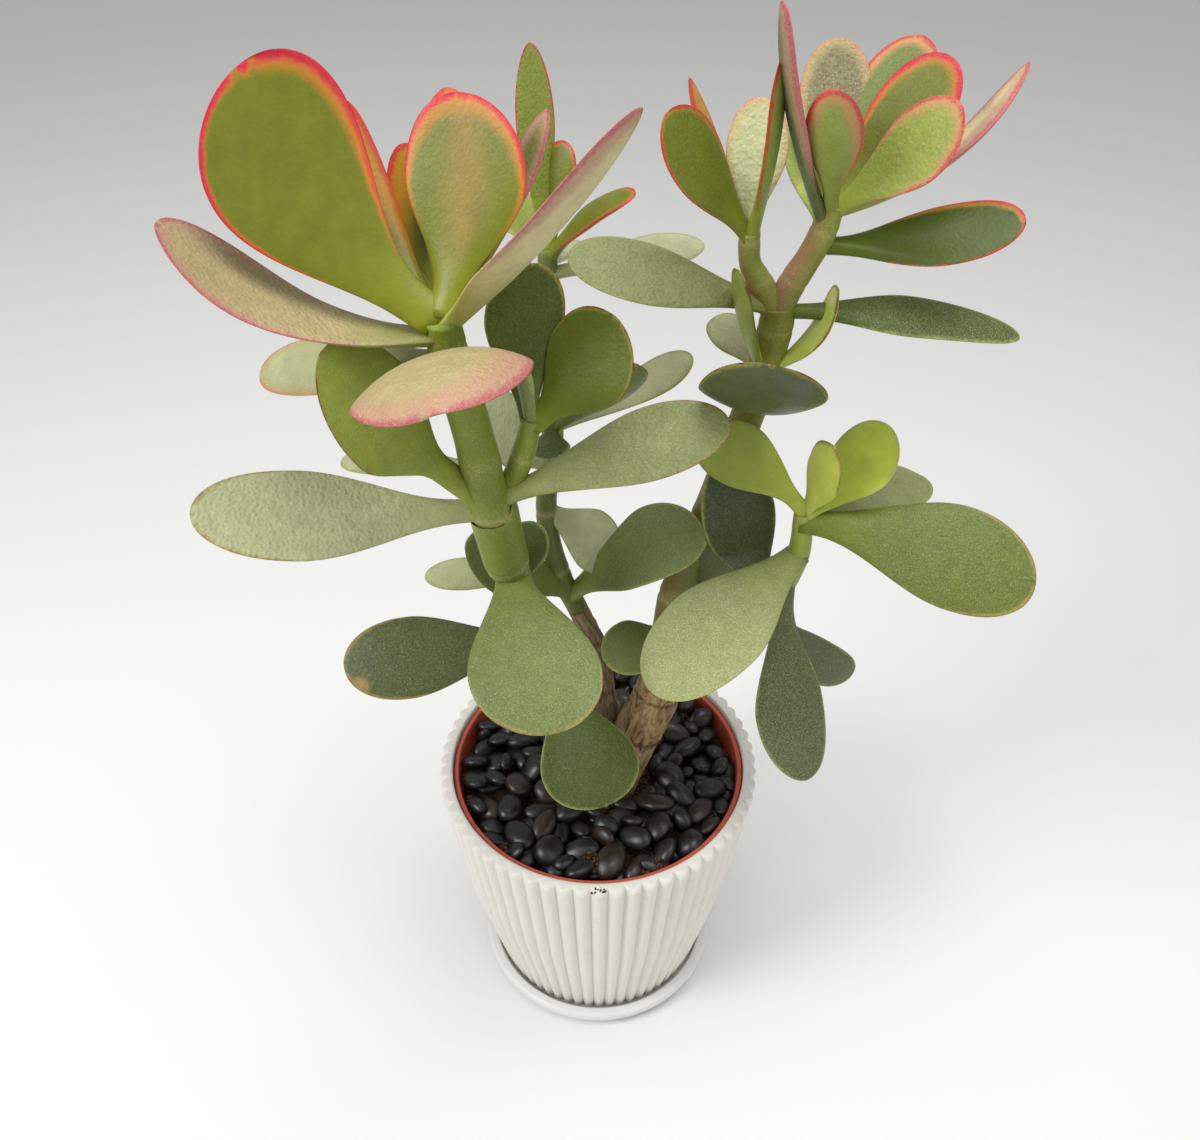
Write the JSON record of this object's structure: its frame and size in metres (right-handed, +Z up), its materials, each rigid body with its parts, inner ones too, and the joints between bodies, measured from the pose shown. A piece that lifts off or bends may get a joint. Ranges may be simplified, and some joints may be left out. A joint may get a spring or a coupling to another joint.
{
  "type": "potted golden jade",
  "caption": "Golden jade succulent: branching stems with fleshy, red-edged leaves, in a growing pot topped with black pebbles, set in a white ribbed pot on a round saucer.",
  "frame": {"origin": "centre of the saucer's flat underside, on the surface the pot stands on", "axes": "+Z up, +X to the right and +Y away from the side the picture was taken from"},
  "size_m": [0.24, 0.162, 0.393],
  "materials": {
    "saucer": "satin",
    "cover_pot": "satin",
    "growing_pot": "matte",
    "soil": "matte",
    "pebbles": "satin",
    "bark": "matte",
    "leaves": "satin"
  },
  "bodies": {
    "root": {"saucer": "saucer", "cover_pot": "cover_pot", "growing_pot": "growing_pot", "soil": "soil", "pebbles": "pebbles", "woody_base": "bark", "front_stem": "leaves", "rear_stem": "leaves", "right_stem": "leaves", "lower_shoot": "leaves"}
  },
  "joints": []
}
